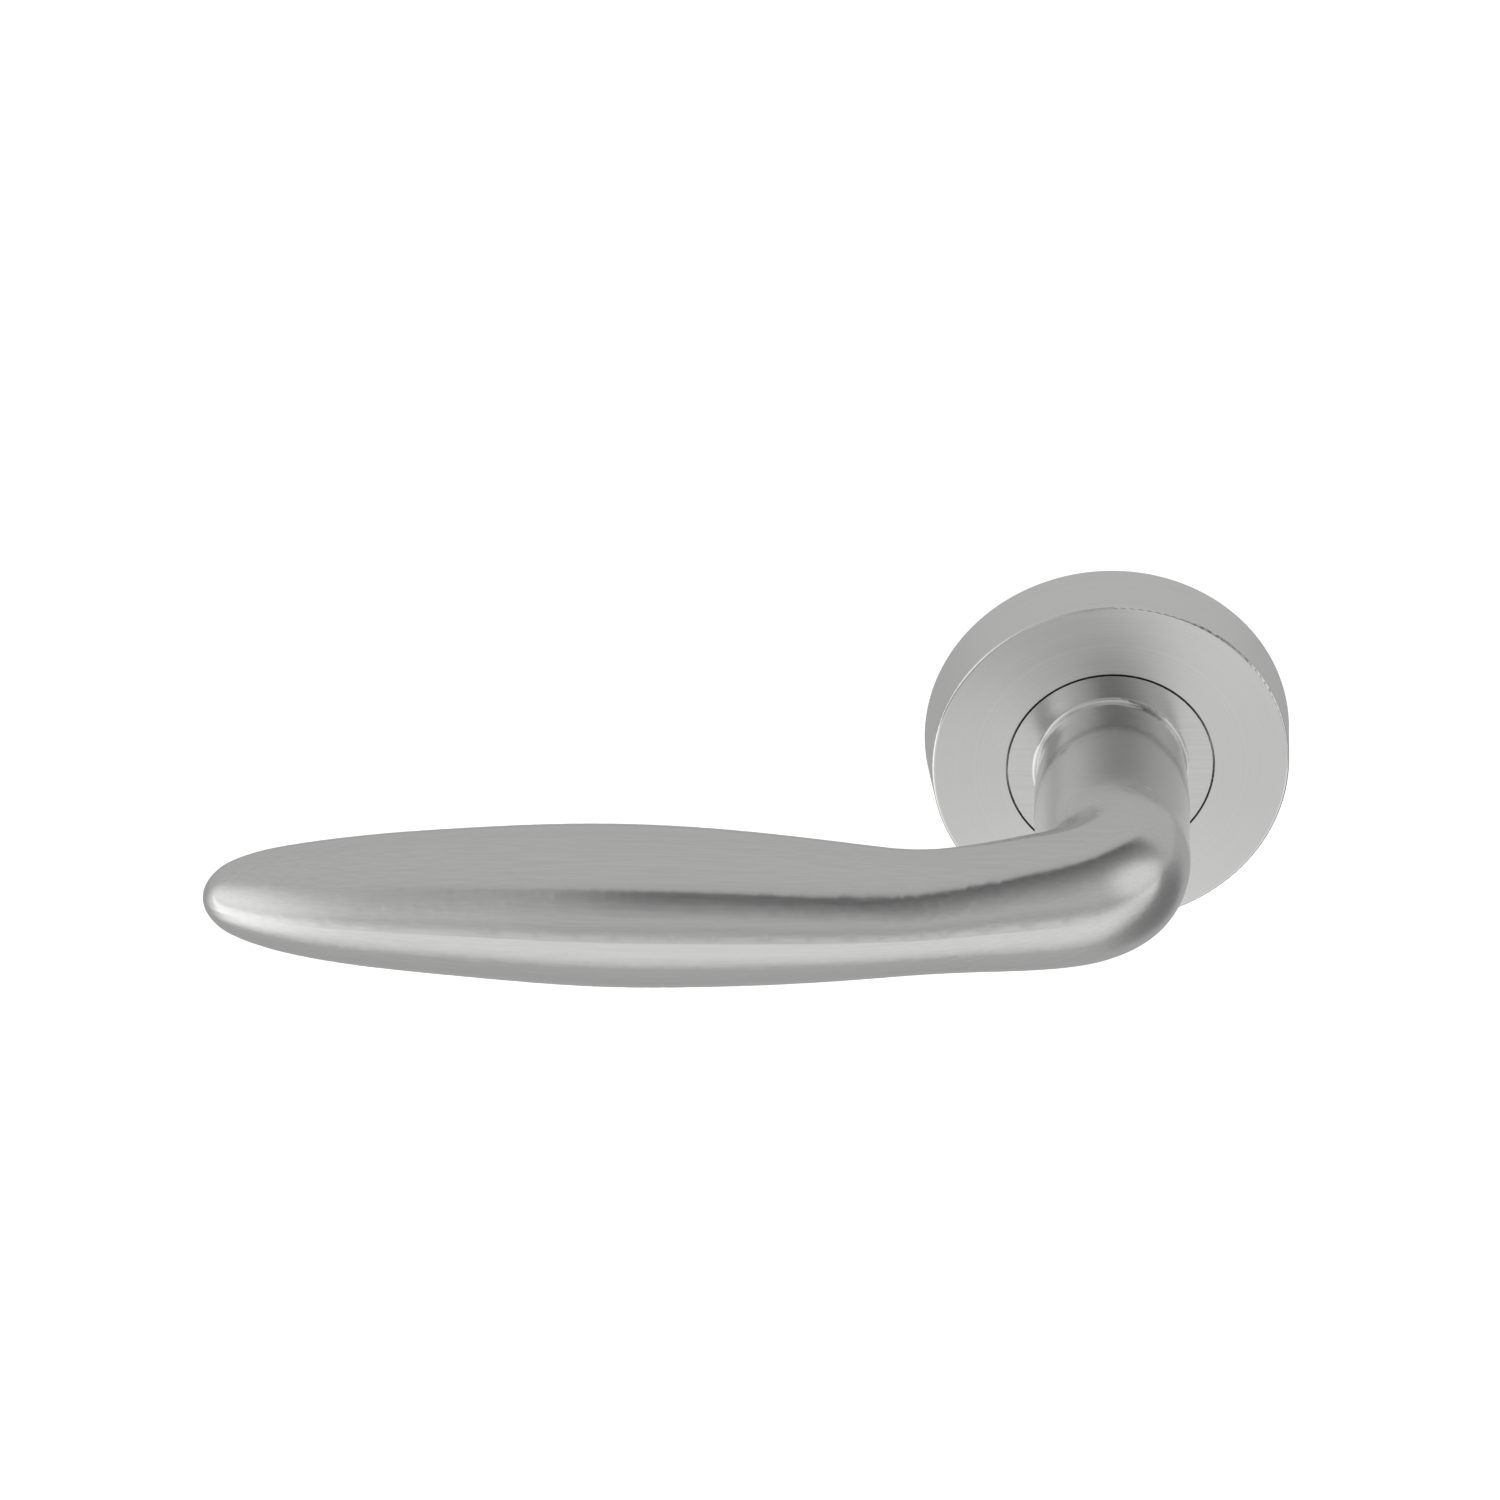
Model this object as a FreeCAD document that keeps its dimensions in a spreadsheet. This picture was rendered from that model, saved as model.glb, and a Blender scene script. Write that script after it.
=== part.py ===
"""Door lever handle on a round sprung rose, in millimetres.

The origin is the centre of the rose's rear face, on the spindle's axis. -Y points out
of the door towards the user, +Y into the door, +Z up, and the grip runs to -X.
A depth is a distance out of the door face, so depth d lies at Y = -d.
"""
import FreeCAD, Part
import math
import os
import Sketcher

V = FreeCAD.Vector
doc = FreeCAD.newDocument("door_lever_handle")

SIZES = {
    # rose cover
    "rose_dia": 52.0,
    "rose_taper": 0.9,
    "cover_wall": 1.2,
    "cover_edge": 0.35,
    "collar_dia": 28.8,
    "collar_gap": 0.3,
    "collar_thick": 1.4,
    # mounting plate
    "plate_gap": 0.8,
    "plate_thick": 3.0,
    "recess_rim": 3.3,
    "recess_depth": 2.0,
    "ring_wire": 1.6,
    "screw_spacing": 38.0,
    "screw_dia": 4.0,
    "screw_head_dia": 7.4,
    "screw_head_depth": 2.1,
    "screw_neck_dia": 3.6,
    "screw_reach": 26.0,
    "screw_clearance": 0.15,
    "post_dia": 7.4,
    "post_reach": 8.0,
    # spring housing
    "housing_gap": 0.1,
    "chamber_depth": 3.9,
    "housing_wall": 1.15,
    "web_thick": 1.0,
    "ear_offset": 2.35,
    "ear_dia": 6.4,
    "ear_height": 3.4,
    "rivet_dia": 2.9,
    "rivet_head_dia": 5.2,
    "rivet_head_depth": 1.15,
    # bearings
    "hub_dia": 16.0,
    "hub_end": 0.1,
    "run_gap": 0.05,
    "fit_gap": 0.05,
    "bush_wall": 1.0,
    "bush_flange_step": 1.1,
    "bush_flange": 0.45,
    "rear_flange_rim": 2.8,
    "rear_flange": 0.5,
    # retaining ring and washer
    "clip_start": 0.4,
    "clip_thick": 0.7,
    "clip_rim": 2.0,
    "groove_deep": 0.7,
    "washer_thick": 0.22,
    "washer_rim": 2.3,
    # cam, stops and spring
    "flat_deep": 1.0,
    "cam_rim": 2.8,
    "cam_thick": 1.35,
    "lug_gap": 0.6,
    "lug_half_angle": 11.0,
    "turn_angle": 45.0,
    "stop_dia": 2.0,
    "stop_gap": 0.3,
    "strip_thick": 0.8,
    "strip_width": 2.3,
    "spring_gap": 0.6,
    "spiral_pitch": 1.15,
    "tab_width": 0.8,
    "peg_dia": 1.5,
    "peg_gap": 0.45,
    # spindle and grub screw
    "spindle_side": 8.0,
    "spindle_length": 74.0,
    "spindle_inside": 36.0,
    "socket_gap": 0.05,
    "grub_dia": 5.0,
    "grub_length": 5.6,
    "grub_depth": 24.0,
    "hex_key": 2.5,
    # lever
    "neck_dia": 21.0,
    "neck_root": 0.6,
    "neck_straight": 13.0,
    "inner_corner_x": 14.2,
    "inner_corner_depth": 38.4,
    "inner_corner_radius": 2.8,
    "elbow_turn": 77.0,
    "elbow_height": 19.2,
    "elbow_depth": 14.3,
    "grip_depth": 50.4,
    "lever_reach": 122.4,
    "belly_height": 22.3,
    "waist_height": 17.0,
    "nose_radius": 3.9,
    "section_ratio": 0.88,
}

sheet = doc.addObject("Spreadsheet::Sheet", "Sizes")
for row, (alias, number) in enumerate(SIZES.items(), start=1):
    sheet.set(f"A{row}", alias)
    sheet.set(f"B{row}", str(number))
    sheet.setAlias(f"B{row}", alias)
doc.recompute()

# depths of the stack of parts inside the rose, as expressions on the sheet
WEB_BACK = "(Sizes.plate_thick + Sizes.chamber_depth)"
HOUSING_TOP = f"({WEB_BACK} + Sizes.web_thick)"
COLLAR_BACK = f"({HOUSING_TOP} + Sizes.bush_flange + Sizes.run_gap)"
ROSE_FRONT = f"({COLLAR_BACK} + Sizes.collar_thick)"
CAM_START = "(Sizes.plate_thick + 2 * Sizes.run_gap)"
STRIP_START = f"({CAM_START} + Sizes.cam_thick + 2 * Sizes.run_gap)"
HUB_R = "(Sizes.hub_dia / 2)"
BUSH_IN = f"({HUB_R} + Sizes.run_gap)"
BUSH_OUT = f"({BUSH_IN} + Sizes.bush_wall)"
BUSH_SEAT = f"({BUSH_OUT} + Sizes.fit_gap)"
COLLAR_R = "(Sizes.collar_dia / 2)"
OPENING_R = f"({COLLAR_R} + Sizes.collar_gap)"
BUSH_FLANGE_R = f"({COLLAR_R} - Sizes.bush_flange_step)"
ROSE_R = "(Sizes.rose_dia / 2)"
PLATE_R = f"({ROSE_R} - Sizes.cover_wall - Sizes.plate_gap)"
SCREW_X = "(Sizes.screw_spacing / 2)"
HEAD_SINK_R = "(Sizes.screw_head_dia / 2 + Sizes.screw_clearance)"
HOUSING_R = f"({SCREW_X} - {HEAD_SINK_R} - Sizes.housing_gap)"
CHAMBER_R = f"({HOUSING_R} - Sizes.housing_wall)"
EAR_Z = f"({HOUSING_R} + Sizes.ear_offset)"
RECESS_R = f"({HUB_R} + Sizes.recess_rim)"
REAR_FLANGE_R = f"({HUB_R} + Sizes.rear_flange_rim)"
GROOVE_R = f"({HUB_R} - Sizes.groove_deep)"
CLIP_R = f"({HUB_R} + Sizes.clip_rim)"
HALF_FLAT = f"({HUB_R} - Sizes.flat_deep)"
CAM_R = f"({HUB_R} + Sizes.cam_rim)"
LUG_R = f"({CHAMBER_R} - Sizes.lug_gap)"
STOP_R = f"({CAM_R} + Sizes.stop_gap + Sizes.stop_dia / 2)"
PEG_X = f"({HUB_R} + Sizes.peg_gap + Sizes.peg_dia / 2)"
SPIRAL_R = (f"({CHAMBER_R} - Sizes.spring_gap - Sizes.strip_thick / 2 "
            "- 2 * Sizes.spiral_pitch)")
SOCKET_HALF = "(Sizes.spindle_side / 2 + Sizes.socket_gap)"


def number(expression):
    return float(sheet.evalExpression(expression))


def plane_of(body, role):
    return next(o for o in body.Origin.OriginFeatures if o.Role == role)


def bind(sketch, line, kind, expression):
    """Tie one coordinate of a line's start point to the sheet."""
    value = number(expression)
    if abs(value) < 1e-9:
        axis = -2 if kind == "DistanceX" else -1
        sketch.addConstraint(Sketcher.Constraint("PointOnObject", line, 1, axis))
        return
    index = sketch.addConstraint(Sketcher.Constraint(kind, -1, 1, line, 1, value))
    sketch.setExpression(f"Constraints[{index}]", expression)


def polygon(sketch, corners):
    """A closed outline whose corners are pairs of expressions."""
    count = len(corners)
    points = [V(number(a), number(b), 0) for a, b in corners]
    for i in range(count):
        sketch.addGeometry(Part.LineSegment(points[i], points[(i + 1) % count]), False)
    for i in range(count):
        sketch.addConstraint(Sketcher.Constraint("Coincident", i, 2, (i + 1) % count, 1))
    for i, (a, b) in enumerate(corners):
        bind(sketch, i, "DistanceX", a)
        bind(sketch, i, "DistanceY", b)


def turned(name, profile):
    """A body turned about the Y axis from (radius, depth) corners."""
    body = doc.addObject("PartDesign::Body", name)
    sketch = body.newObject("Sketcher::SketchObject", f"{name}_profile")
    sketch.AttachmentSupport = [(plane_of(body, "XY_Plane"), "")]
    sketch.MapMode = "FlatFace"
    polygon(sketch, [(radius, f"-({depth})") for radius, depth in profile])
    doc.recompute()
    feature = body.newObject("PartDesign::Revolution", f"{name}_turned")
    feature.Profile = sketch
    feature.ReferenceAxis = (sketch, ["V_Axis"])
    feature.Angle = 360.0
    doc.recompute()
    return body


def rod(name, radius, start, length, x="0", z="0"):
    """A cylinder that runs out of the door from depth start."""
    item = doc.addObject("Part::Cylinder", name)
    item.Placement = FreeCAD.Placement(V(0, 0, 0), FreeCAD.Rotation(V(1, 0, 0), 90))
    item.setExpression("Radius", radius)
    item.setExpression("Height", length)
    item.setExpression("Placement.Base.x", x)
    item.setExpression("Placement.Base.y", f"-({start})")
    item.setExpression("Placement.Base.z", z)
    return item


def sink(name, wide, narrow, start, length, x="0", z="0"):
    """A cone that narrows from radius wide to radius narrow, out of the door."""
    item = doc.addObject("Part::Cone", name)
    item.Placement = FreeCAD.Placement(V(0, 0, 0), FreeCAD.Rotation(V(1, 0, 0), 90))
    item.setExpression("Radius1", wide)
    item.setExpression("Radius2", narrow)
    item.setExpression("Height", length)
    item.setExpression("Placement.Base.x", x)
    item.setExpression("Placement.Base.y", f"-({start})")
    item.setExpression("Placement.Base.z", z)
    return item


def block(name, wide, deep, tall, x, start, z):
    """A box: x and z are its low corner, start its inner depth, deep its run outwards."""
    item = doc.addObject("Part::Box", name)
    item.setExpression("Length", wide)
    item.setExpression("Width", deep)
    item.setExpression("Height", tall)
    item.setExpression("Placement.Base.x", x)
    item.setExpression("Placement.Base.y", f"-({start}) - ({deep})")
    item.setExpression("Placement.Base.z", z)
    return item


def joined(name, items):
    result = doc.addObject("Part::MultiFuse", name)
    result.Shapes = items
    return result


def cut(name, base, tools):
    result = doc.addObject("Part::Cut", name)
    result.Base = base
    result.Tool = tools[0] if len(tools) == 1 else joined(f"{name}_tools", tools)
    return result


def ring_edges(shape, radius, depth):
    """Numbers of the circular edges of one radius at one depth."""
    found = []
    for i, edge in enumerate(shape.Edges, start=1):
        curve = edge.Curve
        if not isinstance(curve, Part.Circle):
            continue
        level = -edge.Vertexes[0].Point.y
        if abs(curve.Radius - radius) < 1e-4 and abs(level - depth) < 1e-4:
            found.append(i)
    return found


def rounded(name, base, radius, edges):
    """A Part::Fillet of one radius on the numbered edges of base."""
    result = doc.addObject("Part::Fillet", name)
    result.Base = base
    result.Edges = [(i, radius, radius) for i in edges]
    return result


def keep(item, label):
    item.Label = label
    nodes.append(item)


nodes = []


def build_rose_cover():
    front = f"({ROSE_R} - Sizes.rose_taper)"
    inner = f"({ROSE_FRONT} - Sizes.cover_wall)"
    body = turned("cover", [
        (ROSE_R, "0"),
        (front, ROSE_FRONT),
        (OPENING_R, ROSE_FRONT),
        (OPENING_R, inner),
        (f"({front} - Sizes.cover_wall)", inner),
        (f"({ROSE_R} - Sizes.cover_wall)", "0"),
    ])
    shell = body.Tip
    edges = ring_edges(shell.Shape, number(front), number(ROSE_FRONT))
    fillet = body.newObject("PartDesign::Fillet", "cover_edge")
    fillet.Base = (shell, [f"Edge{i}" for i in edges])
    fillet.setExpression("Radius", "Sizes.cover_edge")
    body.Tip = fillet
    keep(body, "rose_cover")


def build_mounting_plate():
    groove = "(Sizes.ring_wire + 0.3)"
    floor = f"({PLATE_R} - 0.62 * Sizes.ring_wire)"
    low = f"((Sizes.plate_thick - {groove}) / 2)"
    body = turned("plate_blank", [
        (BUSH_SEAT, "Sizes.plate_thick"),
        (PLATE_R, "Sizes.plate_thick"),
        (PLATE_R, f"{low} + {groove}"),
        (floor, f"{low} + {groove}"),
        (floor, low),
        (PLATE_R, low),
        (PLATE_R, "0"),
        (RECESS_R, "0"),
        (RECESS_R, "Sizes.recess_depth"),
        (BUSH_SEAT, "Sizes.recess_depth"),
    ])
    posts, holes = [], []
    hole_r = "(Sizes.screw_dia / 2 + Sizes.screw_clearance)"
    for side, x in (("left", f"-{SCREW_X}"), ("right", SCREW_X)):
        posts.append(rod(f"post_{side}", "Sizes.post_dia / 2", "-Sizes.post_reach",
                         "Sizes.post_reach + Sizes.plate_thick / 2", x))
        holes.append(rod(f"screw_hole_{side}", hole_r, "-Sizes.post_reach - 1",
                         "Sizes.post_reach + Sizes.plate_thick + 2", x))
        holes.append(sink(f"screw_sink_{side}", hole_r, HEAD_SINK_R,
                          "Sizes.plate_thick - Sizes.screw_head_depth",
                          "Sizes.screw_head_depth", x))
    for side, sign in (("top", ""), ("bottom", "-")):
        z = f"{sign}{EAR_Z}"
        holes.append(rod(f"ear_hole_{side}", "Sizes.rivet_dia / 2 + Sizes.fit_gap", "-1",
                         "Sizes.plate_thick + 2", "0", z))
        holes.append(sink(f"ear_sink_{side}", "Sizes.rivet_head_dia / 2 + Sizes.fit_gap",
                          "Sizes.rivet_dia / 2 + Sizes.fit_gap", "0",
                          "Sizes.rivet_head_depth", "0", z))
    for index, (x, z) in enumerate(stop_places()):
        holes.append(rod(f"stop_hole_{index}", "Sizes.stop_dia / 2", "Sizes.plate_thick / 4",
                         "Sizes.plate_thick", x, z))
    blank = joined("plate_with_posts", [body] + posts)
    keep(cut("plate", blank, holes), "mounting_plate")


def stop_places():
    """Centres of the two stop pins, one at each end of the cam lug's travel."""
    half = ("(Sizes.lug_half_angle + 0.4 "
            f"+ asin(Sizes.stop_dia / 2 / {STOP_R}) / 1deg)")
    low = f"((90 - {half}) * 1deg)"
    high = f"((90 + Sizes.turn_angle + {half}) * 1deg)"
    return [(f"{STOP_R} * cos({a})", f"{STOP_R} * sin({a})")
            for a in (low, high)]


def build_stop_pins():
    pins = [rod(f"stop_pin_{i}", "Sizes.stop_dia / 2", "Sizes.plate_thick / 4",
                f"{CAM_START} + Sizes.cam_thick - Sizes.plate_thick / 4", x, z)
            for i, (x, z) in enumerate(stop_places())]
    group = doc.addObject("Part::Compound", "stops")
    group.Links = pins
    keep(group, "stop_pins")


def build_spring_housing():
    body = turned("housing_cup", [
        (CHAMBER_R, "Sizes.plate_thick"),
        (HOUSING_R, "Sizes.plate_thick"),
        (HOUSING_R, HOUSING_TOP),
        (BUSH_SEAT, HOUSING_TOP),
        (BUSH_SEAT, WEB_BACK),
        (CHAMBER_R, WEB_BACK),
    ])
    ears, holes = [], []
    for side, sign in (("top", ""), ("bottom", "-")):
        z = f"{sign}{EAR_Z}"
        ears.append(rod(f"ear_{side}", "Sizes.ear_dia / 2", "Sizes.plate_thick",
                        "Sizes.ear_height", "0", z))
        holes.append(rod(f"ear_bore_{side}", "Sizes.rivet_dia / 2 + Sizes.fit_gap",
                         "Sizes.plate_thick - 1", "Sizes.ear_height + 2", "0", z))
    holes.append(rod("chamber_keep_clear", CHAMBER_R, "Sizes.plate_thick",
                     "Sizes.chamber_depth"))
    slot = "(Sizes.tab_width + 0.3)"
    holes.append(block("tab_slot", "Sizes.housing_wall + 2", "Sizes.strip_width + 0.3", slot,
                       f"{CHAMBER_R} - 1", f"{STRIP_START} - 0.15", f"-{slot} / 2"))
    blank = joined("housing_with_ears", [body] + ears)
    keep(cut("housing", blank, holes), "spring_housing")


def build_housing_screws():
    screws = []
    for side, sign in (("top", ""), ("bottom", "-")):
        z = f"{sign}{EAR_Z}"
        shank = rod(f"housing_shank_{side}", "Sizes.rivet_dia / 2", "0.2",
                    "Sizes.plate_thick + Sizes.ear_height - 0.5", "0", z)
        head = sink(f"housing_head_{side}", "Sizes.rivet_head_dia / 2",
                    "Sizes.rivet_dia / 2", "0.05", "Sizes.rivet_head_depth", "0", z)
        whole = joined(f"housing_screw_{side}", [shank, head])
        drive = rod(f"housing_drive_{side}", "0.75", "-0.5", "1.2", "0", z)
        screws.append(cut(f"housing_screw_{side}_cut", whole, [drive]))
    group = doc.addObject("Part::Compound", "housing_screws")
    group.Links = screws
    keep(group, "housing_screws")


def build_front_bush():
    keep(turned("front_bush", [
        (BUSH_IN, WEB_BACK),
        (BUSH_OUT, WEB_BACK),
        (BUSH_OUT, HOUSING_TOP),
        (BUSH_FLANGE_R, HOUSING_TOP),
        (BUSH_FLANGE_R, f"{HOUSING_TOP} + Sizes.bush_flange"),
        (BUSH_IN, f"{HOUSING_TOP} + Sizes.bush_flange"),
    ]), "front_bush")


def build_rear_bush():
    keep(turned("back_bush", [
        (BUSH_IN, "Sizes.recess_depth - Sizes.rear_flange"),
        (REAR_FLANGE_R, "Sizes.recess_depth - Sizes.rear_flange"),
        (REAR_FLANGE_R, "Sizes.recess_depth"),
        (BUSH_OUT, "Sizes.recess_depth"),
        (BUSH_OUT, "Sizes.plate_thick"),
        (BUSH_IN, "Sizes.plate_thick"),
    ]), "rear_bush")


def build_spring_washer():
    clip_top = "(Sizes.clip_start + Sizes.clip_thick)"
    high = ("(Sizes.recess_depth - Sizes.rear_flange - Sizes.washer_thick "
            "- Sizes.run_gap / 2)")
    keep(turned("washer", [
        (f"{HUB_R} + 0.25", clip_top),
        (f"{HUB_R} + 0.25", f"{clip_top} + Sizes.washer_thick"),
        (f"{HUB_R} + Sizes.washer_rim", f"{high} + Sizes.washer_thick"),
        (f"{HUB_R} + Sizes.washer_rim", high),
    ]), "spring_washer")


def build_circlip():
    ring = turned("clip_ring", [
        (f"{GROOVE_R} + Sizes.fit_gap", "Sizes.clip_start"),
        (CLIP_R, "Sizes.clip_start"),
        (CLIP_R, "Sizes.clip_start + Sizes.clip_thick"),
        (f"{GROOVE_R} + Sizes.fit_gap", "Sizes.clip_start + Sizes.clip_thick"),
    ])
    gap = block("clip_gap", "5", "Sizes.clip_thick + 2", f"2 * {CLIP_R}", "-2.5",
                "Sizes.clip_start - 1", f"-2 * {CLIP_R}")
    eyes = [rod(f"clip_eye_{i}", "0.5", "Sizes.clip_start - 1", "Sizes.clip_thick + 2",
                x, f"-({CLIP_R} + {GROOVE_R}) / 2 + 0.4")
            for i, x in enumerate(("-3.7", "3.7"))]
    keep(cut("clip", ring, [gap] + eyes), "circlip")


def build_cover_ring():
    ring = doc.addObject("Part::Torus", "cover_ring")
    ring.Placement = FreeCAD.Placement(V(0, 0, 0), FreeCAD.Rotation(V(1, 0, 0), 90))
    ring.setExpression("Radius2", "Sizes.ring_wire / 2")
    ring.setExpression("Radius1", f"{PLATE_R} - 0.62 * Sizes.ring_wire + Sizes.ring_wire / 2 + 0.02")
    ring.setExpression("Placement.Base.y", "-Sizes.plate_thick / 2")
    keep(ring, "cover_ring")


def build_fixing_screws():
    screws = []
    for side, x in (("left", f"-{SCREW_X}"), ("right", SCREW_X)):
        shank = rod(f"fixing_shank_{side}", "Sizes.screw_dia / 2", "-Sizes.screw_reach",
                    "Sizes.screw_reach - Sizes.post_reach - 0.5", x)
        neck = rod(f"fixing_neck_{side}", "Sizes.screw_neck_dia / 2",
                   "-Sizes.post_reach - 1", "Sizes.post_reach + Sizes.plate_thick", x)
        head = sink(f"fixing_head_{side}", "Sizes.screw_neck_dia / 2", "Sizes.screw_head_dia / 2",
                    "Sizes.plate_thick - Sizes.screw_head_depth", "Sizes.screw_head_depth", x)
        whole = joined(f"fixing_screw_{side}", [shank, neck, head])
        slots = [block(f"fixing_slot_{side}_{i}", a, "1.6", b,
                       f"{x} - {a} / 2", "Sizes.plate_thick - 1.1", f"-{b} / 2")
                 for i, (a, b) in enumerate((("4.2", "0.8"), ("0.8", "4.2")))]
        screws.append(cut(f"fixing_screw_{side}_cut", whole, slots))
    group = doc.addObject("Part::Compound", "fixing_screws")
    group.Links = screws
    keep(group, "fixing_screws")


def build_drive_cam():
    disc = rod("cam_disc", CAM_R, CAM_START, "Sizes.cam_thick")
    lug = rod("cam_lug", LUG_R, CAM_START, "Sizes.cam_thick")
    lug.setExpression("Angle", "2 * Sizes.lug_half_angle")
    first = FreeCAD.Rotation(V(0, 0, 1), 90 - number("Sizes.lug_half_angle"))
    facing = FreeCAD.Rotation(V(1, 0, 0), 90).multiply(first)
    lug.Placement = FreeCAD.Placement(V(0, -number(CAM_START), 0), facing)
    blank = joined("cam_blank", [disc, lug])
    bore = rod("cam_bore", f"{HUB_R} + Sizes.fit_gap", f"{CAM_START} - 1", "Sizes.cam_thick + 2")
    half = f"({HALF_FLAT} + Sizes.fit_gap)"
    window = block("cam_window", f"2 * {half}", "Sizes.cam_thick + 4",
                   "Sizes.hub_dia + 4", f"-{half}", f"{CAM_START} - 2",
                   "-Sizes.hub_dia / 2 - 2")
    opening = doc.addObject("Part::Common", "cam_opening")
    opening.Base = bore
    opening.Tool = window
    peg = rod("cam_peg_hole", "Sizes.peg_dia / 2", f"{CAM_START} - 1", "Sizes.cam_thick + 2",
              *peg_place())
    keep(cut("cam", blank, [opening, peg]), "drive_cam")


def peg_place():
    """Centre of the peg that presses on the spring's inner tab."""
    return PEG_X, "-(Sizes.tab_width / 2 + Sizes.peg_dia / 2 + 0.03)"


def build_spring_peg():
    keep(rod("peg", "Sizes.peg_dia / 2", CAM_START,
             f"Sizes.cam_thick + Sizes.strip_width + {STRIP_START} - {CAM_START} "
             "- Sizes.cam_thick - 0.1", *peg_place()), "spring_peg")


def build_return_spring():
    """A flat strip wound clockwise outwards in half circles, with a tab at each end."""
    thick = number("Sizes.strip_thick")
    step = number("Sizes.spiral_pitch") / 2
    radius = number(SPIRAL_R)
    start = number(STRIP_START)
    wide = number("Sizes.strip_width")
    inner, outer = [], []
    centre, side = 0.0, 1
    for _ in range(4):
        for edges, r in ((inner, radius - thick / 2), (outer, radius + thick / 2)):
            begin = V(centre + side * r, -start, 0)
            middle = V(centre, -start, -side * r)
            end = V(centre - side * r, -start, 0)
            edges.append(Part.Arc(begin, middle, end).toShape())
        side = -side
        centre = 0.0 if side > 0 else step
        radius += step
    first, last = inner[0].Vertexes[0].Point, outer[0].Vertexes[0].Point
    far = (inner[-1].Vertexes[-1].Point, outer[-1].Vertexes[-1].Point)
    caps = [Part.LineSegment(first, last).toShape(), Part.LineSegment(*far).toShape()]
    wire = Part.Wire(Part.__sortEdges__(inner + outer + caps))
    strip = Part.Face(wire).extrude(V(0, -wide, 0))
    tab = number("Sizes.tab_width")
    inner_low = number(f"{HUB_R} + 0.35")
    inner_tab = Part.makeBox(first.x + thick / 2 - inner_low, wide, tab,
                             V(inner_low, -start - wide, -tab / 2))
    outer_high = number(f"{HOUSING_R} - 0.2")
    outer_tab = Part.makeBox(outer_high - far[0].x - thick / 2, wide, tab,
                             V(far[0].x + thick / 2, -start - wide, -tab / 2))
    feature = doc.addObject("Part::Feature", "spring_strip")
    feature.Shape = strip.fuse([inner_tab, outer_tab]).removeSplitter()
    keep(feature, "return_spring")


def build_spindle():
    bar = block("spindle_bar", "Sizes.spindle_side", "Sizes.spindle_length",
                "Sizes.spindle_side", "-Sizes.spindle_side / 2",
                "Sizes.spindle_inside - Sizes.spindle_length", "-Sizes.spindle_side / 2")
    doc.recompute()
    ends = [i for i, e in enumerate(bar.Shape.Edges, start=1)
            if abs(e.Vertexes[0].Point.y - e.Vertexes[-1].Point.y) < 1e-6]
    chamfer = doc.addObject("Part::Chamfer", "spindle_chamfer")
    chamfer.Base = bar
    chamfer.Edges = [(i, 0.6, 0.6) for i in ends]
    keep(chamfer, "spindle")


def build_grub_screw():
    top = "(Sizes.spindle_side / 2 + 0.02)"
    body = doc.addObject("Part::Cylinder", "grub_body")
    body.setExpression("Radius", "Sizes.grub_dia / 2 - Sizes.fit_gap")
    body.setExpression("Height", "Sizes.grub_length")
    body.setExpression("Placement.Base.y", "-Sizes.grub_depth")
    body.setExpression("Placement.Base.z", f"-{top} - Sizes.grub_length")
    key = doc.addObject("Part::Prism", "grub_key")
    key.Polygon = 6
    key.setExpression("Circumradius", "Sizes.hex_key / sqrt(3)")
    key.Height = 3.0
    key.setExpression("Placement.Base.y", "-Sizes.grub_depth")
    key.setExpression("Placement.Base.z", f"-{top} - Sizes.grub_length - 0.5")
    keep(cut("grub", body, [key]), "grub_screw")


# the neck leans towards the grip: depth as a share of the way from its straight foot to
# the inner corner, then half widths on the grip's side, away from it and up, in neck radii
NECK_SHAPE = (
    (0.0, 1.0, 1.0, 1.0),
    (0.276, 1.057, 0.988, 1.0),
    (0.551, 1.075, 0.951, 1.0),
    (0.846, 1.088, 0.897, 0.991),
)
ELBOW_FOOT = 0.982  # half depth where the elbow starts, in neck radii
# the elbow, swept about its inner corner: share of the turn, and how far the section's
# depth and its height have gone from the neck's to the grip's
ELBOW_SHAPE = (
    (0.0, 0.0, 0.198),
    (0.2, 0.149, 0.33),
    (0.4, 0.405, 0.473),
    (0.6, 0.687, 0.637),
    (0.8, 0.911, 0.813),
    (1.0, 1.0, 1.0),
)
# the grip: share of the way from elbow to tip, share of the belly's swelling over the
# waist, how far the middle stands off the grip's own depth, and the depth's share of full
GRIP_SHAPE = (
    (0.048, 0.158, -0.61, 0.924),
    (0.121, 0.03, 0.75, 0.982),
    (0.194, 0.262, 0.90, 1.0),
    (0.292, 0.638, 0.57, 1.0),
    (0.389, 0.893, 0.20, 1.0),
    (0.488, 0.995, 0.0, 1.0),
    (0.586, 0.877, -0.21, 1.0),
    (0.684, 0.604, -0.38, 1.0),
    (0.759, 0.347, -0.44, 1.0),
    (0.881, -0.313, -0.54, 1.0),
    (0.955, -1.128, -0.80, 1.0),
)
# the nose: distance back from the tip and half height in nose radii, and the stand-off
NOSE_SHAPE = (
    (0.575, 1.04, -0.81),
    (0.31, 0.775, -0.81),
    (0.11, 0.475, -0.81),
    (0.03, 0.245, -0.81),
    (0.004, 0.09, -0.81),
)

UNIT_RING = Part.Circle(V(0, 0, 0), V(0, 0, 1), 1.0).toBSpline()
UNIT_RING.setNotPeriodic()


def ring(centre, across, deep, tall):
    """Poles of an ellipse, half sizes deep (along the unit vector across) and tall (Z)."""
    return [centre + across * (p.x * deep) + V(0, 0, p.y * tall)
            for p in UNIT_RING.getPoles()]


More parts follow.
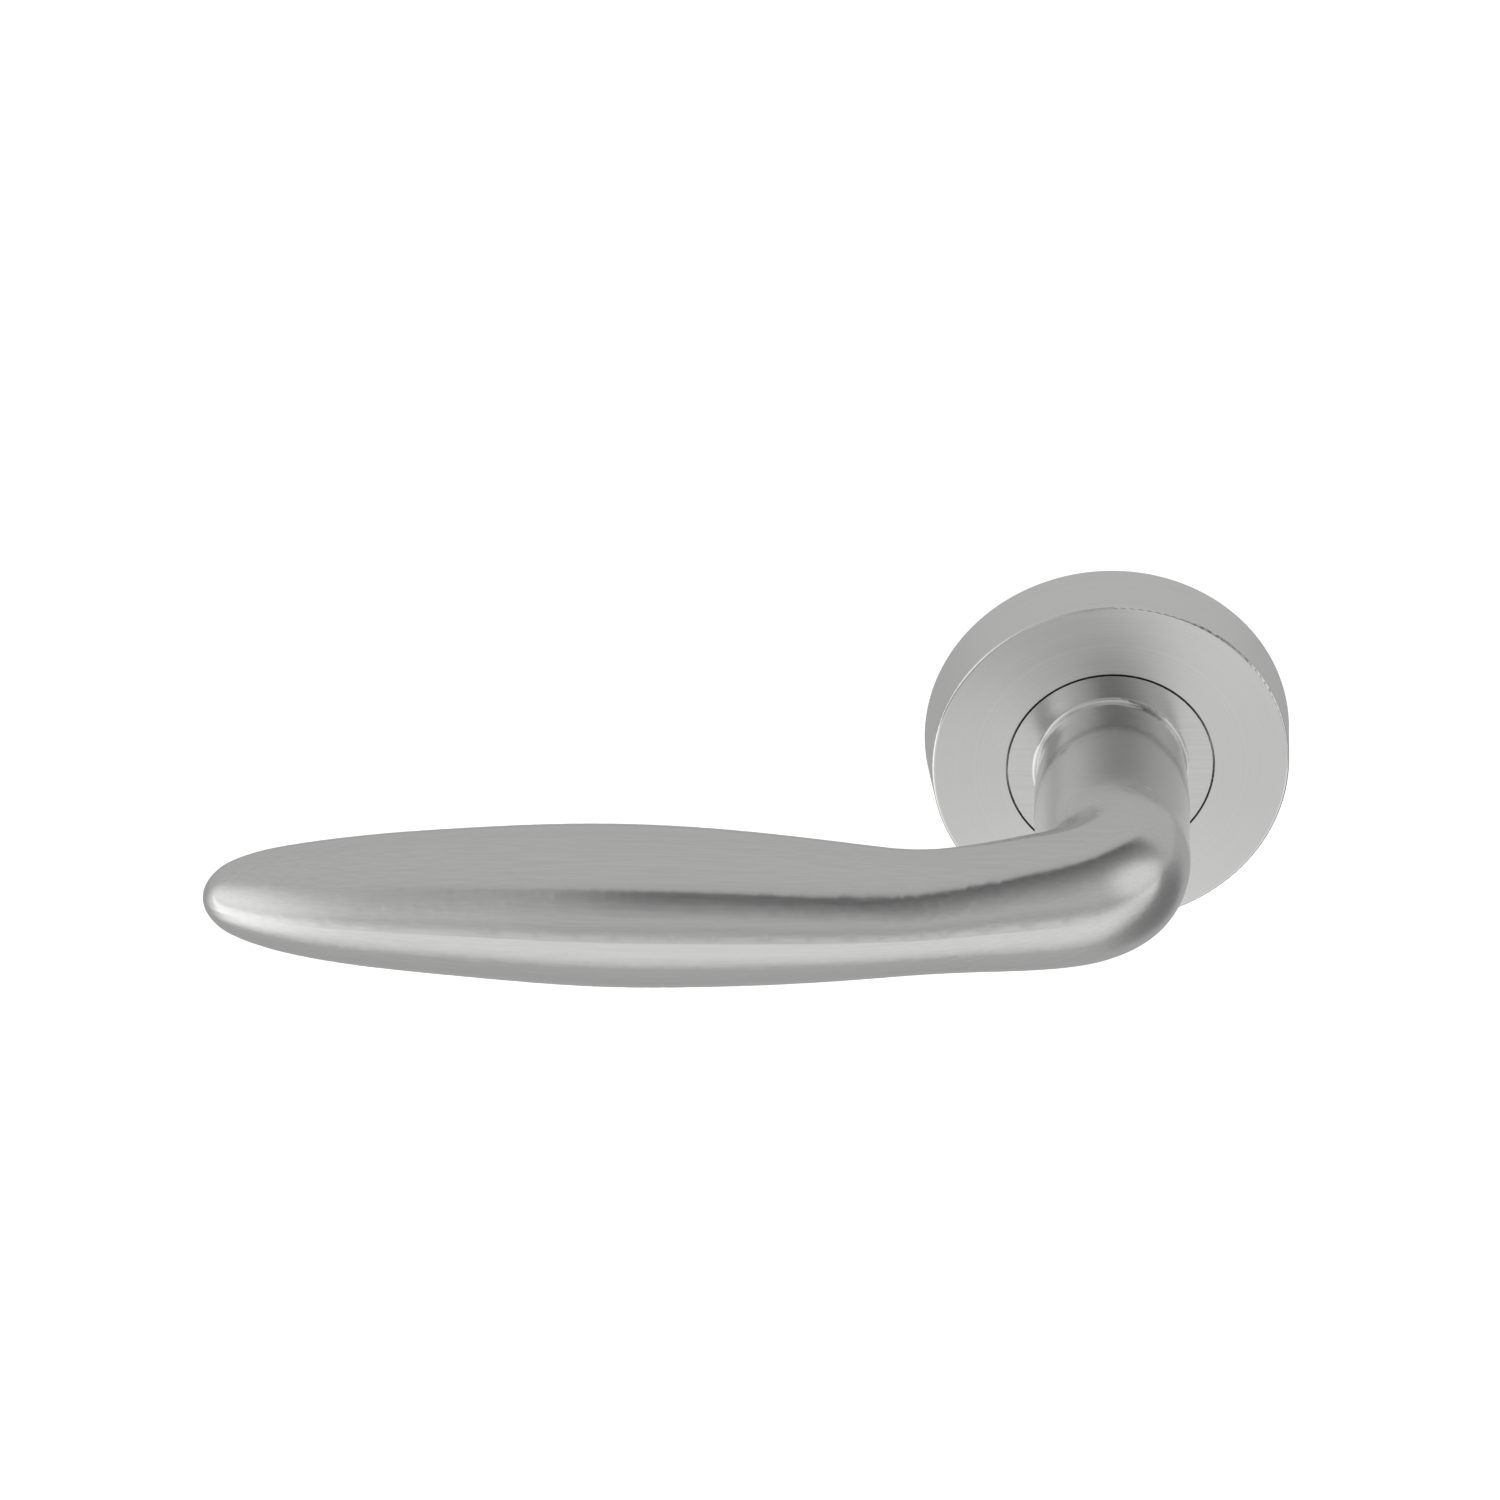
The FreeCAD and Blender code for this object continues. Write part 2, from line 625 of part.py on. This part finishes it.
def neck_rings(neck, foot, corner):
    """Round sections up the leaning neck, from depth foot towards depth corner."""
    rings = []
    for share, near, far, tall in NECK_SHAPE:
        depth = foot + share * (corner - foot)
        middle = V((far - near) / 2 * neck, -depth, 0)
        rings.append(ring(middle, V(1, 0, 0), (far + near) / 2 * neck, tall * neck))
    return rings


def elbow_rings(neck, pivot):
    """Sections fanned round the inner corner, from the neck's shape to the grip's."""
    inside = number("Sizes.inner_corner_radius")
    foot = ELBOW_FOOT * neck
    deep_end = number("Sizes.elbow_depth") / 2
    tall_end = number("Sizes.elbow_height") / 2
    rings = []
    for share, deeper, taller in ELBOW_SHAPE:
        angle = math.radians(number("Sizes.elbow_turn") * share)
        across = V(math.cos(angle), -math.sin(angle), 0)
        deep = foot + (deep_end - foot) * deeper
        tall = neck + (tall_end - neck) * taller
        rings.append(ring(pivot + across * (inside + deep), across, deep, tall))
    return rings


def grip_rings(elbow_x):
    """Sections along the grip and round the nose."""
    reach = number("Sizes.lever_reach")
    grip = -number("Sizes.grip_depth")
    ratio = number("Sizes.section_ratio")
    waist = number("Sizes.waist_height") / 2
    belly = number("Sizes.belly_height") / 2
    nose = number("Sizes.nose_radius")
    rows = [(-elbow_x - share * (reach - elbow_x), waist + (belly - waist) * swell, shift, slim)
            for share, swell, shift, slim in GRIP_SHAPE]
    rows += [(back * nose - reach, nose * half, shift, 1.0) for back, half, shift in NOSE_SHAPE]
    return [ring(V(x, grip - shift, 0), V(0, -1, 0), tall * ratio * slim, tall)
            for x, tall, shift, slim in rows]


def lever_sections():
    """Sections from the neck's foot round the elbow and out to the tip."""
    neck = number("Sizes.neck_dia") / 2
    corner_x = number("Sizes.inner_corner_x")
    corner = number("Sizes.inner_corner_depth")
    return (neck_rings(neck, number("Sizes.neck_straight"), corner)
            + elbow_rings(neck, V(-corner_x, -corner, 0)) + grip_rings(corner_x))


def skin_over(rings):
    """A closed solid whose side runs smoothly through every ring."""
    stations = [0.0]
    for before, after in zip(rings, rings[1:]):
        step = sum((b - a).Length for a, b in zip(before, after)) / len(before)
        stations.append(stations[-1] + step)
    along = []
    for j in range(len(rings[0])):
        curve = Part.BSplineCurve()
        curve.interpolate(Points=[r[j] for r in rings], Parameters=stations)
        along.append(curve)
    poles = [[c.getPole(i) for c in along] for i in range(1, along[0].NbPoles + 1)]
    weights = [UNIT_RING.getWeights() for _ in poles]
    side = Part.BSplineSurface()
    side.buildFromPolesMultsKnots(
        poles, along[0].getMultiplicities(), UNIT_RING.getMultiplicities(),
        along[0].getKnots(), UNIT_RING.getKnots(), False, False,
        along[0].Degree, UNIT_RING.Degree, weights)
    face = side.toShape()
    caps = [Part.Face(Part.Wire(side.uIso(t).toShape())) for t in (stations[0], stations[-1])]
    shell = Part.Shell([face] + caps)
    shell.sewShape()
    solid = Part.Solid(shell)
    if solid.Volume < 0:
        solid.reverse()
    return solid


def build_lever():
    neck_r = "Sizes.neck_dia / 2"
    neck = rod("neck", neck_r, COLLAR_BACK, f"Sizes.neck_straight - {COLLAR_BACK}")
    collar = rod("collar", COLLAR_R, COLLAR_BACK, "Sizes.collar_thick")
    hub = rod("hub", HUB_R, "Sizes.hub_end", f"{COLLAR_BACK} - Sizes.hub_end")
    stem = joined("stem", [neck, collar, hub])
    doc.recompute()
    root = ring_edges(stem.Shape, number(neck_r), number(ROSE_FRONT))
    flared = rounded("stem_flared", stem, number("Sizes.neck_root"), root)
    skin = doc.addObject("Part::Feature", "grip_skin")
    skin.Shape = skin_over(lever_sections())
    whole = joined("lever_blank", [flared, skin])
    socket = block("socket", f"2 * {SOCKET_HALF}", "Sizes.spindle_inside + 3",
                   f"2 * {SOCKET_HALF}", f"-{SOCKET_HALF}", "-2", f"-{SOCKET_HALF}")
    flats = [block(f"hub_flat_{i}", "6", f"{CAM_START} + Sizes.cam_thick + 2.05",
                   "Sizes.hub_dia + 4", x, "-2", "-Sizes.hub_dia / 2 - 2")
             for i, x in enumerate((HALF_FLAT, f"-{HALF_FLAT} - 6"))]
    ring = rod("groove_outside", "Sizes.hub_dia", "Sizes.clip_start - 0.05",
               "Sizes.clip_thick + 0.1")
    core = rod("groove_core", GROOVE_R, "Sizes.clip_start - 1",
               "Sizes.clip_thick + 2")
    groove = cut("clip_groove", ring, [core])
    grub_hole = doc.addObject("Part::Cylinder", "grub_hole")
    grub_hole.setExpression("Radius", "Sizes.grub_dia / 2")
    grub_hole.setExpression("Height", "Sizes.neck_dia")
    grub_hole.setExpression("Placement.Base.y", "-Sizes.grub_depth")
    grub_hole.setExpression("Placement.Base.z", f"-Sizes.neck_dia - {SOCKET_HALF} + 0.5")
    keep(cut("lever_cut", whole, [socket, groove, grub_hole] + flats), "lever")


def write_parts():
    doc.recompute()
    bad = [o.Name for o in doc.Objects if {"Invalid", "Error"} & set(o.State)]
    if bad:
        raise RuntimeError(f"objects that failed: {bad}")
    os.makedirs("parts", exist_ok=True)
    for item in nodes:
        shape = item.Shape
        if shape.isNull() or not shape.isValid() or not shape.Solids:
            raise RuntimeError(f"{item.Label} is not a valid solid")
        shape.exportStep(f"parts/{item.Label}.step")
        print(f"{item.Label}: {len(shape.Solids)} solid, {shape.Volume:.1f} mm3")


build_rose_cover()
build_cover_ring()
build_mounting_plate()
build_fixing_screws()
build_spring_housing()
build_housing_screws()
build_stop_pins()
build_front_bush()
build_rear_bush()
build_lever()
build_drive_cam()
build_spring_peg()
build_return_spring()
build_spring_washer()
build_circlip()
build_spindle()
build_grub_screw()
write_parts()
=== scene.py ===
import math
import bpy
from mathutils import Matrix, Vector

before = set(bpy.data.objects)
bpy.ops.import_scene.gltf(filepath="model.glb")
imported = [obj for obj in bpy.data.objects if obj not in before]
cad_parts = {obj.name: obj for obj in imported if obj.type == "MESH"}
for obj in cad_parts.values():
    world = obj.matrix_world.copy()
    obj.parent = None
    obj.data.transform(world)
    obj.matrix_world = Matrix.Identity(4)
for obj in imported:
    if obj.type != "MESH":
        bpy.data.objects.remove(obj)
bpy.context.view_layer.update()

scene = bpy.context.scene
scene.view_settings.view_transform = "Standard"  # plain greys, as a product shot has
bpy.ops.object.select_all(action="DESELECT")


def linear(hexColour):
    # an sRGB hex value as linear red, green, blue, alpha
    parts = [int(hexColour[i:i + 2], 16) / 255 for i in (1, 3, 5)]
    parts = [c / 12.92 if c <= 0.04045 else ((c + 0.055) / 1.055) ** 2.4 for c in parts]
    return (*parts, 1.0)


def addNode(tree, kind, settings=None, links=None):
    # one node with its settings, and its inputs linked or given a value
    node = tree.nodes.new(kind)
    for name, value in (settings or {}).items():
        setattr(node, name, value)
    for socket, source in (links or {}).items():
        if isinstance(source, bpy.types.NodeSocket):
            tree.links.new(source, node.inputs[socket])
        else:
            node.inputs[socket].default_value = source
    return node


def newMaterial(name, look):
    # a Principled shader with the constants of its look set on its own sockets
    material = bpy.data.materials.new(name)
    material.use_nodes = True
    shader = material.node_tree.nodes["Principled BSDF"]
    shader.inputs["Base Color"].default_value = linear(look["colour"])
    shader.inputs["Metallic"].default_value = look["metallic"]
    shader.inputs["Roughness"].default_value = look["roughness"]
    shader.inputs["Anisotropic"].default_value = look.get("anisotropic", 0.0)
    return material, material.node_tree, shader


def putOn(material, *nodeNames):
    # the material becomes the only one on each of these CAD nodes
    for nodeName in nodeNames:
        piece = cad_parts[nodeName]
        piece.data.materials.clear()
        piece.data.materials.append(material)


camera = {"azimuth": 1.44, "elevation": 27.77, "distance": 0.575, "lens": 96.05,
          "aim": (-0.05101, 0.0, -0.00305), "sensor": 36.0, "nearest": 0.01, "farthest": 50.0}

turn, lift = math.radians(camera["azimuth"]), math.radians(camera["elevation"])
backward = Vector((math.sin(turn) * math.cos(lift), -math.cos(turn) * math.cos(lift),
                   math.sin(lift)))
cameraData = bpy.data.cameras.new("productCamera")
cameraData.lens = camera["lens"]
cameraData.sensor_width = camera["sensor"]
cameraData.clip_start = camera["nearest"]
cameraData.clip_end = camera["farthest"]
productCamera = bpy.data.objects.new("productCamera", cameraData)
scene.collection.objects.link(productCamera)
productCamera.location = Vector(camera["aim"]) + backward * camera["distance"]
productCamera.rotation_mode = "QUATERNION"
productCamera.rotation_quaternion = (-backward).to_track_quat("-Z", "Y")
scene.camera = productCamera
print("camera set")

# what the metal mirrors, a soft tent round it. The sheets go round the X axis, by angle in
# degrees: 0 straight out towards the user, 90 overhead, 180 behind, -90 straight down.
# Under the roof's front edge and its right edge is an unlit gap, which dies away downwards
tent = {
    "strength": 0.775,
    "darkest": (0.02, 0.02, 0.02),
    "behind": (1.3, 1.3, 1.3, 1.0),  # a white sheet, seen past the object but not mirrored
    "sheets": [(-180, 0.52), (-100, 0.54), (-72, 0.58), (-60, 0.88), (-50, 1.00), (-38, 1.00),
               (-29, 0.93), (-21, 0.62), (-14, 0.52), (-4, 0.62), (20, 0.62), (90, 0.63),
               (180, 0.60)],
    "roofEdges": [(0.0, 0.616, 0.788), (-0.761, 0.332, 0.557)],  # upward normals of the edges
    "gap": [(-0.62, 1.0), (-0.47, 0.76), (-0.31, 0.52), (-0.19, 0.37), (-0.09, 0.27),
            (-0.01, 0.17), (0.012, 1.0)],  # light left, by how far under the edge
    "gapFrom": -0.34, "gapTo": 0.0,  # the gap opens from left to right
    "gapFront": 0.10, "gapBack": 0.45,  # and closes behind the object
    "corner": 0.08,  # the two edges meet in a round corner
    "glows": {
        "left": {"towards": (-0.866, -0.476, -0.155), "spread": 0.62, "level": 0.60},
        "right": {"towards": (0.93, -0.33, 0.16), "spread": 0.88, "level": 0.35},
        "lowRight": {"towards": (0.85, 0.10, -0.50), "spread": 0.76, "level": -0.28},
    },
}


def brightnessRamp(tree, share, table, low, high):
    # a grey ramp through a table of (place, level), with places from low to high
    ramp = addNode(tree, "ShaderNodeValToRGB", links={"Fac": share})
    stops = ramp.color_ramp.elements
    for stop, (place, level) in ((stops[0], table[0]), (stops[1], table[-1])):
        stop.position = (place - low) / (high - low)
        stop.color = (level, level, level, 1.0)
    for place, level in table[1:-1]:
        stop = stops.new((place - low) / (high - low))
        stop.color = (level, level, level, 1.0)
    return ramp.outputs["Color"]


def makeTent():
    # the world: sheets, then the gap cut into them, then the glows laid over both
    world = bpy.data.worlds.new("softTent")
    scene.world = world
    world.use_nodes = True
    tree = world.node_tree
    background = tree.nodes["Background"]
    background.inputs["Strength"].default_value = tent["strength"]
    place = addNode(tree, "ShaderNodeTexCoord").outputs["Generated"]
    parts = addNode(tree, "ShaderNodeSeparateXYZ", links={0: place}).outputs
    outward = addNode(tree, "ShaderNodeMath", {"operation": "MULTIPLY"}, {0: parts["Y"], 1: -1.0})
    angle = addNode(tree, "ShaderNodeMath", {"operation": "ARCTAN2"},
                    {0: parts["Z"], 1: outward.outputs[0]})
    share = addNode(tree, "ShaderNodeMapRange", links={
        "Value": angle.outputs[0], "From Min": -math.pi, "From Max": math.pi}).outputs["Result"]
    sheets = brightnessRamp(tree, share, tent["sheets"], -180, 180)
    over = [addNode(tree, "ShaderNodeVectorMath", {"operation": "DOT_PRODUCT"},
                    {0: place, 1: Vector(edge).normalized()}).outputs["Value"]
            for edge in tent["roofEdges"]]
    under = addNode(tree, "ShaderNodeMath", {"operation": "SMOOTH_MIN"},
                    {0: over[0], 1: over[1], 2: tent["corner"]})
    depth = addNode(tree, "ShaderNodeMapRange", links={
        "Value": under.outputs[0], "From Min": -1.0, "From Max": 1.0}).outputs["Result"]
    gap = brightnessRamp(tree, depth, tent["gap"], -1.0, 1.0)
    opening = addNode(tree, "ShaderNodeMapRange", {"interpolation_type": "SMOOTHSTEP"}, {
        "Value": parts["X"], "From Min": tent["gapFrom"], "From Max": tent["gapTo"]})
    closing = addNode(tree, "ShaderNodeMapRange", {"interpolation_type": "SMOOTHSTEP"}, {
        "Value": parts["Y"], "From Min": tent["gapFront"], "From Max": tent["gapBack"],
        "To Min": 1.0, "To Max": 0.0})
    opened = addNode(tree, "ShaderNodeMath", {"operation": "MULTIPLY"},
                     {0: opening.outputs["Result"], 1: closing.outputs["Result"]})
    total = addNode(tree, "ShaderNodeMix", {"data_type": "RGBA", "blend_type": "MULTIPLY"}, {
        0: opened.outputs[0], 6: sheets, 7: gap}).outputs[2]
    for glow in tent["glows"].values():
        towards = Vector(glow["towards"]).normalized()
        near = addNode(tree, "ShaderNodeVectorMath", {"operation": "DOT_PRODUCT"},
                       {0: place, 1: towards}).outputs["Value"]
        level = addNode(tree, "ShaderNodeMapRange", {"interpolation_type": "SMOOTHSTEP"}, {
            "Value": near, "From Min": glow["spread"], "From Max": 1.0,
            "To Max": glow["level"]}).outputs["Result"]
        total = addNode(tree, "ShaderNodeVectorMath", {"operation": "ADD"},
                        {0: total, 1: level}).outputs[0]
    total = addNode(tree, "ShaderNodeVectorMath", {"operation": "MAXIMUM"},
                    {0: total, 1: tent["darkest"]}).outputs[0]
    seen = addNode(tree, "ShaderNodeLightPath").outputs["Is Camera Ray"]
    total = addNode(tree, "ShaderNodeMix", {"data_type": "RGBA"}, {
        0: seen, 6: total, 7: tent["behind"]}).outputs[2]
    tree.links.new(total, background.inputs["Color"])


makeTent()
print("tent lit")

floor = {"size": 40.0, "height": -0.45, "colour": "#FFFFFF", "glow": 0.7}

bpy.ops.mesh.primitive_plane_add(size=floor["size"], location=(0, 0, floor["height"]))
floorPiece = bpy.context.object
floorPiece.name = "paleFloor"
floorMaterial, tree, shader = newMaterial("mattWhitePaper", {
    "colour": floor["colour"], "metallic": 0.0, "roughness": 1.0})
shader.inputs["Emission Color"].default_value = (1, 1, 1, 1)
shader.inputs["Emission Strength"].default_value = floor["glow"]
floorPiece.data.materials.append(floorMaterial)
floorPiece.visible_glossy = False  # the metal mirrors the tent, not the sheet under it
bpy.ops.object.select_all(action="DESELECT")
print("floor laid")


def grain(tree, stretch, amount):
    # a noise from 0 to 1 about 0.5, in features 1/stretch long along each axis
    place = addNode(tree, "ShaderNodeTexCoord").outputs["Object"]
    mapped = addNode(tree, "ShaderNodeMapping", links={"Vector": place, "Scale": stretch})
    noise = addNode(tree, "ShaderNodeTexNoise", links={
        "Vector": mapped.outputs[0], "Scale": 1.0, "Detail": 3.0, "Roughness": amount})
    return noise.outputs["Fac"]


def vary(tree, value, low, high):
    # a noise's middle part, spread from low to high
    return addNode(tree, "ShaderNodeMapRange", links={
        "Value": value, "From Min": 0.3, "From Max": 0.7, "To Min": low, "To Max": high}
    ).outputs["Result"]


def tint(tree, shader, value, look):
    # the base colour goes from the look's dark to its light with the noise
    mixed = addNode(tree, "ShaderNodeMix", {"data_type": "RGBA"}, {
        0: vary(tree, value, 0.0, 1.0), 6: linear(look["dark"]), 7: linear(look["light"])})
    tree.links.new(mixed.outputs[2], shader.inputs["Base Color"])


def roughen(tree, shader, value, look):
    tree.links.new(vary(tree, value, *look["rough"]), shader.inputs["Roughness"])


def dent(tree, shader, height, look):
    # the noise as relief, to the look's depth in metres
    bump = addNode(tree, "ShaderNodeBump", links={
        "Height": height, "Distance": look["depth"], "Strength": look["relief"]})
    tree.links.new(bump.outputs[0], shader.inputs["Normal"])


turned = {"colour": "#F3F3F2", "dark": "#F0F0EF", "light": "#F6F6F5", "metallic": 1.0,
          "roughness": 0.33, "rough": (0.30, 0.36), "anisotropic": 0.7, "lineWidth": 0.00025,
          "depth": 0.000002, "relief": 0.5,
          "edgeAt": 0.0247, "edgeDepth": -0.0094, "edgeRoughness": 0.12}


def turnedSatinStainless():
    # stainless sheet, brushed while it spins: fine rings round the rose, so a reflection
    # smears from the middle to the rim and shows as wedges of light and shade
    material, tree, shader = newMaterial("turnedSatinStainless", turned)
    place = addNode(tree, "ShaderNodeTexCoord").outputs["Object"]
    flat = addNode(tree, "ShaderNodeVectorMath", {"operation": "MULTIPLY"},
                   {0: place, 1: (1.0, 0.0, 1.0)}).outputs[0]
    radius = addNode(tree, "ShaderNodeVectorMath", {"operation": "LENGTH"}, {0: flat})
    depth = addNode(tree, "ShaderNodeSeparateXYZ", links={0: place}).outputs["Y"]
    across = addNode(tree, "ShaderNodeCombineXYZ", links={
        "X": radius.outputs["Value"], "Y": depth})
    lines = addNode(tree, "ShaderNodeTexNoise", links={  # one line for each grit scratch
        "Vector": across.outputs[0], "Scale": 1.0 / turned["lineWidth"], "Detail": 2.0}
    ).outputs["Fac"]
    tint(tree, shader, lines, turned)
    rim = addNode(tree, "ShaderNodeMath", {"operation": "GREATER_THAN"},
                  {0: radius.outputs["Value"], 1: turned["edgeAt"]})
    front = addNode(tree, "ShaderNodeMath", {"operation": "LESS_THAN"},
                    {0: depth, 1: turned["edgeDepth"]})
    edge = addNode(tree, "ShaderNodeMath", {"operation": "MULTIPLY"},
                   {0: rim.outputs[0], 1: front.outputs[0]})
    rough = addNode(tree, "ShaderNodeMix", links={  # the rounded edge is buffed brighter
        0: edge.outputs[0], 2: vary(tree, lines, *turned["rough"]), 3: turned["edgeRoughness"]})
    tree.links.new(rough.outputs[0], shader.inputs["Roughness"])
    dent(tree, shader, lines, turned)
    tangent = addNode(tree, "ShaderNodeTangent", {"direction_type": "RADIAL", "axis": "Y"})
    tree.links.new(tangent.outputs[0], shader.inputs["Tangent"])
    return material


belt = {"colour": "#E6E6E5", "dark": "#E3E3E2", "light": "#E9E9E8", "metallic": 1.0,
        "roughness": 0.17, "rough": (0.155, 0.185), "lineWidth": 0.0003, "lineLength": 0.014,
        "depth": 0.0000012, "relief": 0.4,
        "collarFace": -0.0098, "collarBlend": 0.0007, "collarRoughness": 0.2}


def satinCastStainless():
    # investment-cast stainless, linished with a fine belt along the grip: soft-edged
    # reflections broken up by hair lines that run with the lever
    material, tree, shader = newMaterial("satinCastStainless", belt)
    across, along = 1.0 / belt["lineWidth"], 1.0 / belt["lineLength"]
    lines = grain(tree, (along, across, across), 0.5)
    tint(tree, shader, lines, belt)
    place = addNode(tree, "ShaderNodeTexCoord").outputs["Object"]
    depth = addNode(tree, "ShaderNodeSeparateXYZ", links={0: place}).outputs["Y"]
    collar = addNode(tree, "ShaderNodeMapRange", links={  # the collar is turned, so duller
        "Value": depth, "From Min": belt["collarFace"] - belt["collarBlend"],
        "From Max": belt["collarFace"]}).outputs["Result"]
    rough = addNode(tree, "ShaderNodeMix", links={
        0: collar, 2: vary(tree, lines, *belt["rough"]), 3: belt["collarRoughness"]})
    tree.links.new(rough.outputs[0], shader.inputs["Roughness"])
    dent(tree, shader, lines, belt)
    return material


zinc = {"colour": "#D2D5D6", "dark": "#CDD0D2", "light": "#D8D9D7", "metallic": 1.0,
        "roughness": 0.38, "rough": (0.35, 0.41), "spot": 0.0016}
screwThread = {"screwAt": 0.019, "pitch": 0.0007, "start": 0.0087, "depth": 0.0002,
               "relief": 1.0}


def zincPlatedSteel(name, thread=None):
    # pressed steel, bright zinc plated: pale grey with a cloudy, slightly blue bloom
    material, tree, shader = newMaterial(name, zinc)
    size = 1.0 / zinc["spot"]
    cloud = grain(tree, (size, size, size), 0.6)
    tint(tree, shader, cloud, zinc)
    roughen(tree, shader, cloud, zinc)
    if thread:  # a helix round each screw's own axis, from where its thread starts
        place = addNode(tree, "ShaderNodeTexCoord").outputs["Object"]
        parts = addNode(tree, "ShaderNodeSeparateXYZ", links={0: place}).outputs
        side = addNode(tree, "ShaderNodeMath", {"operation": "SIGN"}, {0: parts["X"]})
        middle = addNode(tree, "ShaderNodeMath", {"operation": "MULTIPLY"},
                         {0: side.outputs[0], 1: thread["screwAt"]})
        offset = addNode(tree, "ShaderNodeMath", {"operation": "SUBTRACT"},
                         {0: parts["X"], 1: middle.outputs[0]})
        around = addNode(tree, "ShaderNodeMath", {"operation": "ARCTAN2"},
                         {0: parts["Z"], 1: offset.outputs[0]})
        climb = addNode(tree, "ShaderNodeMath", {"operation": "MULTIPLY_ADD"}, {
            0: parts["Y"], 1: 2 * math.pi / thread["pitch"], 2: around.outputs[0]})
        wave = addNode(tree, "ShaderNodeMath", {"operation": "SINE"}, {0: climb.outputs[0]})
        threaded = addNode(tree, "ShaderNodeMath", {"operation": "GREATER_THAN"},
                           {0: parts["Y"], 1: thread["start"]})
        height = addNode(tree, "ShaderNodeMath", {"operation": "MULTIPLY"},
                         {0: wave.outputs[0], 1: threaded.outputs[0]})
        dent(tree, shader, height.outputs[0], thread)
    return material


spring = {"colour": "#8E8B87", "dark": "#7C7873", "light": "#A29F9A", "metallic": 1.0,
          "roughness": 0.3, "rough": (0.24, 0.38), "lineWidth": 0.0002, "lineLength": 0.004}


def rolledSpringSteel():
    # rolled and tempered spring strip: darker grey with a faint straw tint and roll lines
    material, tree, shader = newMaterial("rolledSpringSteel", spring)
    across, along = 1.0 / spring["lineWidth"], 1.0 / spring["lineLength"]
    lines = grain(tree, (along, across, along), 0.5)
    tint(tree, shader, lines, spring)
    roughen(tree, shader, lines, spring)
    return material


acetal = {"colour": "#E6E3DA", "dark": "#DFDBD0", "light": "#ECEAE3", "metallic": 0.0,
          "roughness": 0.35, "spot": 0.0006, "depth": 0.00001, "relief": 0.4,
          "seeThrough": 0.15, "scatter": (0.002, 0.002, 0.0015)}


def mouldedAcetal():
    # injection moulded acetal, natural white: waxy, slightly see-through, fine mould texture
    material, tree, shader = newMaterial("mouldedAcetal", acetal)
    shader.inputs["Subsurface Weight"].default_value = acetal["seeThrough"]
    shader.inputs["Subsurface Radius"].default_value = acetal["scatter"]
    size = 1.0 / acetal["spot"]
    spots = grain(tree, (size, size, size), 0.5)
    tint(tree, shader, spots, acetal)
    dent(tree, shader, spots, acetal)
    return material


rubber = {"colour": "#161616", "dark": "#101010", "light": "#1E1D1C", "metallic": 0.0,
          "roughness": 0.6, "rough": (0.5, 0.7), "spot": 0.0004}


def nitrileRubber():
    # moulded nitrile cord: matt black with a soft sheen where it is stretched
    material, tree, shader = newMaterial("nitrileRubber", rubber)
    size = 1.0 / rubber["spot"]
    spots = grain(tree, (size, size, size), 0.6)
    tint(tree, shader, spots, rubber)
    roughen(tree, shader, spots, rubber)
    return material


oxide = {"colour": "#2A2A2B", "dark": "#232324", "light": "#353534", "metallic": 1.0,
         "roughness": 0.45, "rough": (0.38, 0.52), "spot": 0.0005}


def blackOxideSteel():
    # hardened steel with an oiled black oxide: nearly black, with a dull metal glint
    material, tree, shader = newMaterial("blackOxideSteel", oxide)
    size = 1.0 / oxide["spot"]
    spots = grain(tree, (size, size, size), 0.6)
    tint(tree, shader, spots, oxide)
    roughen(tree, shader, spots, oxide)
    return material


putOn(turnedSatinStainless(), "rose_cover")
putOn(satinCastStainless(), "lever")
putOn(zincPlatedSteel("zincPlatedPressing"), "mounting_plate", "spring_housing", "drive_cam",
      "spindle", "housing_screws", "stop_pins")
putOn(zincPlatedSteel("zincPlatedScrew", screwThread), "fixing_screws")
putOn(rolledSpringSteel(), "return_spring", "spring_washer", "circlip")
putOn(mouldedAcetal(), "front_bush", "rear_bush")
putOn(nitrileRubber(), "cover_ring")
putOn(blackOxideSteel(), "grub_screw", "spring_peg")
print("finishes on")
